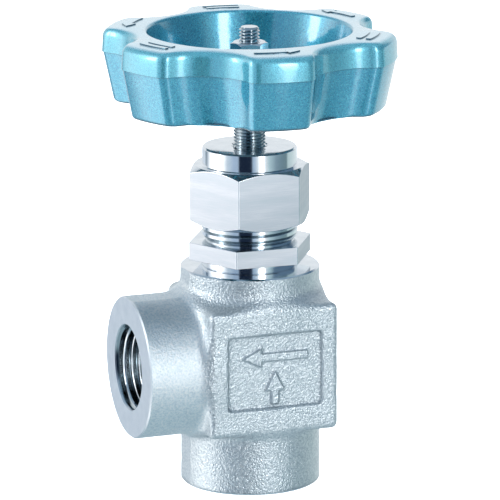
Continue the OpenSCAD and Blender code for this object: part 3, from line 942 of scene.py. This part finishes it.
def make_spring_washer():
    node = "spring_washer"
    inner_r, r, z0, z1 = 2.6 * MM, high(node, 1), low(node), high(node)
    gap = 6.0
    angles = np.radians(np.linspace(gap, 360 - gap, 90))
    edge = 0.12 * MM
    section = rounded([(inner_r, z0), (r, z0), (r, z1), (inner_r, z1)], [edge] * 4, 3)
    grid = revolve(section, angles)
    rows = grid.shape[1]
    open_faces = faces_of(grid, 0, 0)[:1 - rows]      # without those that would bridge the gap
    piece = object_from("spring_washer_coil", grid.reshape(-1, 3), open_faces)
    work = bmesh.new()
    work.from_mesh(piece.data)
    bmesh.ops.holes_fill(work, edges=[e for e in work.edges if e.is_boundary], sides=rows + 1)
    bmesh.ops.recalc_face_normals(work, faces=work.faces)
    work.to_mesh(piece.data)
    work.free()
    shade(piece)
    finish_piece(piece, node, "stem_unit", "turned_steel")


def make_packing():
    inner_r = 3.55 * MM
    make_ring("bonnet_gasket", "housing", "graphite", 7.2 * MM)
    make_ring("packing_support_washer", "housing", "turned_steel", inner_r)
    rise, edge = 1.2 * MM, 0.08 * MM
    vees = ["packing_bottom_adapter", "packing_top_adapter"] + [f"packing_ring_{n}" for n in range(1, 5)]
    for node in vees:
        r, z0, z1 = high(node, 0), low(node), high(node)
        middle = (r + inner_r) / 2
        below = [(inner_r, z0), (middle, z0 + rise), (r, z0)]
        above = [(r, z1 - rise), (middle, z1), (inner_r, z1 - rise)]
        if node == "packing_bottom_adapter":
            below = [(inner_r, z0), (r, z0)]
        if node == "packing_top_adapter":
            above = [(r, z1), (inner_r, z1)]
        outline = below + above
        slot = "packing" if "ring" in node else "turned_steel"
        piece = lathe(node + "_vee", outline, [edge] * len(outline))
        finish_piece(piece, node, "housing", slot)


def make_gland():
    node = "gland_follower"
    z0, z1, flange_r = low(node), high(node), high(node, 0)
    shank_r, inner_r, relief_r = 6.48 * MM, 3.55 * MM, 4.3 * MM
    flange_z, relief_z = z1 - 1.6 * MM, z0 + 2.7 * MM
    outline = [(inner_r, z0), (shank_r, z0), (shank_r, flange_z), (flange_r, flange_z), (flange_r, z1),
               (relief_r, z1), (relief_r, relief_z), (inner_r, relief_z)]
    piece = lathe(node + "_sleeve", outline, [0.1 * MM] * len(outline))
    finish_piece(piece, node, "housing", "turned_steel")


# ---------------------------------------------------------------- handwheel

def wheel_outline(angles):
    """Radius of the lobed rim: a circle with a scallop between each two lobes, joined by round corners."""
    pitch = 360 / LOBES
    away = np.radians(np.abs(np.mod(np.degrees(angles) - WHEEL_TURN, pitch) - pitch / 2))
    centre = VALLEY_R + SCALLOP_R
    corner = WHEEL_R - LOBE_CORNER_R
    turn = math.acos((corner ** 2 + centre ** 2 - (SCALLOP_R + LOBE_CORNER_R) ** 2) / (2 * corner * centre))
    touch = SCALLOP_R / (SCALLOP_R + LOBE_CORNER_R)
    touch_x = centre + touch * (corner * math.cos(turn) - centre)
    low_end = math.atan2(touch * corner * math.sin(turn), touch_x)
    scallop = centre * np.cos(away) - np.sqrt(np.maximum(SCALLOP_R ** 2 - (centre * np.sin(away)) ** 2, 0))
    side = corner * np.sin(away - turn)
    round_corner = corner * np.cos(away - turn) + np.sqrt(np.maximum(LOBE_CORNER_R ** 2 - side ** 2, 0))
    return np.where(away < low_end, scallop, np.where(away < turn, round_corner, WHEEL_R))


def spot(angle, radius):
    return radius * math.cos(math.radians(angle)), radius * math.sin(math.radians(angle))


def arc(start, end, radius):
    """Points along a circle about the stem, from one angle to another, in degrees."""
    return [spot(angle, radius) for angle in np.linspace(start, end, round(abs(end - start) / 2) + 1)]


def raised_mark(outline, top):
    """A small prism on the wheel's top face, its upper edge drawn in. The outline runs counter-clockwise."""
    height, sunk, drawn_in = 0.28 * MM, 0.4 * MM, 0.16 * MM
    flat = np.array(outline)
    along = np.roll(flat, -1, axis=0) - np.roll(flat, 1, axis=0)
    inward = np.stack([-along[:, 1], along[:, 0]], axis=1) / np.linalg.norm(along, axis=1, keepdims=True)
    count = len(flat)
    points = [(x, y, top - sunk) for x, y in flat]
    points += [(x, y, top + height) for x, y in flat + drawn_in * inward]
    sides = [(n, (n + 1) % count, (n + 1) % count + count, n + count) for n in range(count)]
    return points, sides + [tuple(range(count - 1, -1, -1)), tuple(range(count, 2 * count))]


def wheel_marks(top):
    """A curved arrow or a pair of bars on each lobe, as signs of the turning direction and of grip."""
    middle, bar, head = 29.9 * MM, 0.5 * MM, 1.6 * MM
    outlines = []
    for lobe in range(LOBES):
        turn = WHEEL_TURN + lobe * 360 / LOBES
        if lobe % 2:
            for r in (middle - 1.25 * MM, middle + 1.25 * MM):
                outlines.append(arc(turn - 8, turn + 8, r + bar) + arc(turn + 8, turn - 8, r - bar))
        else:
            neck, tip = turn + 4, turn + 10
            point = [spot(neck, middle + head), spot(tip, middle), spot(neck, middle - head)]
            tail = turn - 11
            outlines.append(arc(tail, neck, middle + bar) + point + arc(neck, tail, middle - bar))
    points, faces = [], []
    for outline in outlines:
        more, sides = raised_mark(outline[::-1], top)
        faces += [tuple(n + len(points) for n in side) for side in sides]
        points += more
    return tool_from("wheel_marks", points, faces)


def make_handwheel():
    angles = even_angles(576)
    z0, z1 = low("handwheel"), high("handwheel")
    rim = wheel_outline(angles)
    step, slack = 0.32 * MM, 0.05 * MM
    skirt_foot = rim - step - SKIRT_H * math.tan(math.radians(SKIRT_DRAFT))
    rim_wall, bowl_wall = 2.6 * MM, 2.3 * MM
    wall_foot = BOWL_R + bowl_wall
    pocket_out = skirt_foot - rim_wall
    share = np.clip((pocket_out - wall_foot - 0.3 * MM) / (1.6 * MM), 0, 1)
    pocket = 13.5 * MM * share * share * (3 - 2 * share)
    middle = (np.maximum(pocket_out, wall_foot) + wall_foot) / 2
    pocket_out = np.where(share > 0, pocket_out, middle)
    pocket_in = np.where(share > 0, wall_foot, middle)
    foot = z0 + 0.3 * MM
    recess_r, web_low, web_high = 22.4 * MM, 97 * MM, 100 * MM
    hub_r, hub_low, hub_high = 8 * MM, 95.8 * MM, low("plain_washer")
    from_turn = np.mod(np.degrees(angles) - WHEEL_TURN + 30, 60) - 30
    rib_half, rib_fade, rib_h = 6.0, 1.8, 2.4 * MM
    web = web_low - np.clip((rib_half - np.abs(from_turn)) / rib_fade, 0, 1) * rib_h
    square = square_radius(angles, 2.84 * MM, 4.0 * MM)
    outline = columns(angles, [
        (BOWL_R, z1), (rim - BAND_DRAFT, z1 - 0.25 * MM), (rim, PARTING_Z), (rim - step, PARTING_Z - slack),
        (skirt_foot, z0), (pocket_out, foot), (pocket_out - share * 0.3 * MM, foot + pocket),
        (pocket_in + share * 0.2 * MM, foot + pocket), (pocket_in, z0 + 0.5 * MM),
        (recess_r, z0 + 0.6 * MM), (recess_r - 0.5 * MM, web), (hub_r + 1.2 * MM, web),
        (hub_r + 0.4 * MM, hub_low), (square, hub_low), (square, hub_high),
        (hub_r - 0.4 * MM, hub_high), (hub_r + 0.3 * MM, web_high), (BOWL_R - BOWL_DRAFT, web_high)])
    radii = np.array([0.9, 2.2, 0.1, 0.1, 2.6, 0.8, 0.8, 0.8, 0.8,
                      0.9, 1.2, 1.2, 0.6, 0.1, 0.1, 0.6, 1.5, 3]) * MM
    piece = lathe("handwheel_casting", outline, radii, angles, 6)
    carve(piece, wheel_marks(z1 - 0.1 * MM), "UNION")
    shade(piece)
    finish_piece(piece, "handwheel", "stem_unit", "wheel_paint")


# ---------------------------------------------------------------- studio

def make_floor():
    size = 4.0
    mesh = bpy.data.meshes.new("floor")
    corners = [(-size, -size, 0), (size, -size, 0), (size, size, 0), (-size, size, 0)]
    mesh.from_pydata(corners, [], [(0, 1, 2, 3)])
    floor = new_object("floor", mesh)
    material = new_material("floor_white", base_color=(0.93, 0.93, 0.93, 1), roughness=0.8,
                            emission_color=(1, 1, 1, 1), emission_strength=0.6)[0]
    mesh.materials.append(material)
    floor.visible_glossy = False


# What stands round the valve at its own height: azimuth from the camera in degrees, + to the camera's right,
# and colour
HORIZON = [
    (-180, (0.80, 0.86, 0.92)),
    (-150, (0.66, 0.74, 0.83)),
    (-135, (0.69, 0.80, 0.91)),
    (-133, (0.20, 0.28, 0.36)),      # a gap between two cloths
    (-124, (0.20, 0.28, 0.36)),
    (-121, (0.60, 0.68, 0.76)),
    (-106, (0.72, 0.77, 0.84)),
    (-94, (2.4, 2.4, 2.4)),          # the left window light
    (-83, (2.4, 2.4, 2.4)),
    (-66, (0.76, 0.84, 0.90)),
    (-50, (0.58, 0.70, 0.81)),
    (-38, (0.41, 0.53, 0.69)),
    (-28, (0.42, 0.54, 0.69)),
    (-25, (0.012, 0.022, 0.045)),    # the dark card beside the camera
    (5, (0.012, 0.022, 0.045)),
    (8, (0.41, 0.54, 0.69)),
    (12, (0.42, 0.55, 0.70)),
    (22, (0.84, 0.92, 0.95)),
    (27, (2.7, 2.65, 2.7)),          # the right window light
    (33, (2.7, 2.65, 2.7)),
    (38, (0.84, 0.90, 0.94)),
    (48, (0.51, 0.68, 0.73)),
    (66, (0.25, 0.36, 0.43)),
    (82, (0.18, 0.28, 0.33)),
    (100, (0.18, 0.27, 0.30)),
    (105, (0.52, 0.67, 0.68)),
    (125, (0.58, 0.72, 0.73)),
    (140, (0.71, 0.82, 0.83)),
    (180, (1.0, 1.05, 1.07)),
]

# Panels before the cloths: azimuth of the middle, how many degrees to each side the panel is even and where
# it ends, the heights between which it fades in and out (1 is straight up), and colour
PANELS = [
    (-88, 14, 34, (-0.9, -0.65), (0.5, 0.2), (1.75, 1.75, 1.77)),      # tall and soft
    (100, 35, 50, (0.06, 0.16), (0.75, 0.5), (0.12, 0.20, 0.29)),      # a dark cloth, seen in the bowl
    (30, 4, 9, (-0.04, 0.08), (0.55, 0.35), (6.5, 6.5, 6.5)),          # two high lamps, seen in the bowl
    (-81, 4, 9, (-0.04, 0.08), (0.55, 0.35), (6.0, 6.0, 6.0)),
]


def make_world():
    """A light tent: cloths round the horizon, darker and bluer overhead and below, with panels before."""
    world = bpy.data.worlds.new("studio")
    bpy.context.scene.world = world
    world.use_nodes = True

    def fade(value, start, end):
        return remap(world, value, start, end, kind="SMOOTHSTEP")

    def times(a, b):
        return calculate(world, "MULTIPLY", a, b)

    direction = add(world, "TexCoord").outputs["Generated"]
    inputs = {"Vector": direction, "Angle": math.radians(90 - CAMERA_AZIMUTH)}
    turned = add(world, "VectorRotate", inputs, rotation_type="Z_AXIS").outputs[0]
    ahead, aside, height = (part_of(world, turned, axis) for axis in "XYZ")
    azimuth = calculate(world, "ARCTAN2", aside, ahead)
    stops = [((degrees + 180) / 360, colour) for degrees, colour in HORIZON]
    colour = ramp(world, remap(world, azimuth, -math.pi, math.pi), stops)
    behind = times(fade(ahead, -0.2, -0.7), fade(height, -0.25, 0.05))
    colour = mix(world, behind, colour, (0.86, 0.90, 0.93, 1))
    colour = mix(world, fade(height, 0.25, 0.9), colour, (0.26, 0.37, 0.48, 1))
    colour = mix(world, fade(height, -0.30, -0.75), colour, (0.38, 0.51, 0.58, 1))
    for middle, even, end, bottom, top, light in PANELS:
        away = calculate(world, "ABSOLUTE", calculate(world, "ADD", azimuth, math.radians(-middle)))
        across = remap(world, away, math.radians(even), math.radians(end), 1.0, 0.0, "SMOOTHSTEP")
        share = times(across, times(fade(height, *bottom), fade(height, *top)))
        colour = mix(world, share, colour, light + (1,))
    world.node_tree.links.new(colour, world.node_tree.nodes["Background"].inputs["Color"])


def make_studio():
    make_world()
    make_floor()
    data = bpy.data.lights.new("overhead", "SUN")
    data.energy = 5.5
    data.angle = math.radians(90)
    overhead = new_object("overhead", data)
    overhead.visible_glossy = False
    overhead.location = (-0.3, -0.3, 1.5)
    overhead.rotation_mode = "QUATERNION"
    overhead.rotation_quaternion = (-overhead.location).to_track_quat("-Z", "Y")
    bpy.context.scene.view_settings.view_transform = "Standard"


# ---------------------------------------------------------------- the valve

make_camera()
make_valve_body()
make_bonnet()
make_packing_nut()
make_stem()
make_small_nut()
make_ring("plain_washer", "stem_unit", "turned_steel", 2.65 * MM)
make_spring_washer()
make_packing()
make_gland()
make_handwheel()
CARRIED_OVER = {"needle": "hard_steel", "needle_pins": "turned_steel", "thrust_ball": "turned_steel"}
for node, slot in CARRIED_OVER.items():
    frame["nodes"][node].data.materials.clear()
    frame["nodes"][node].data.materials.append(MATERIALS[slot])
make_studio()
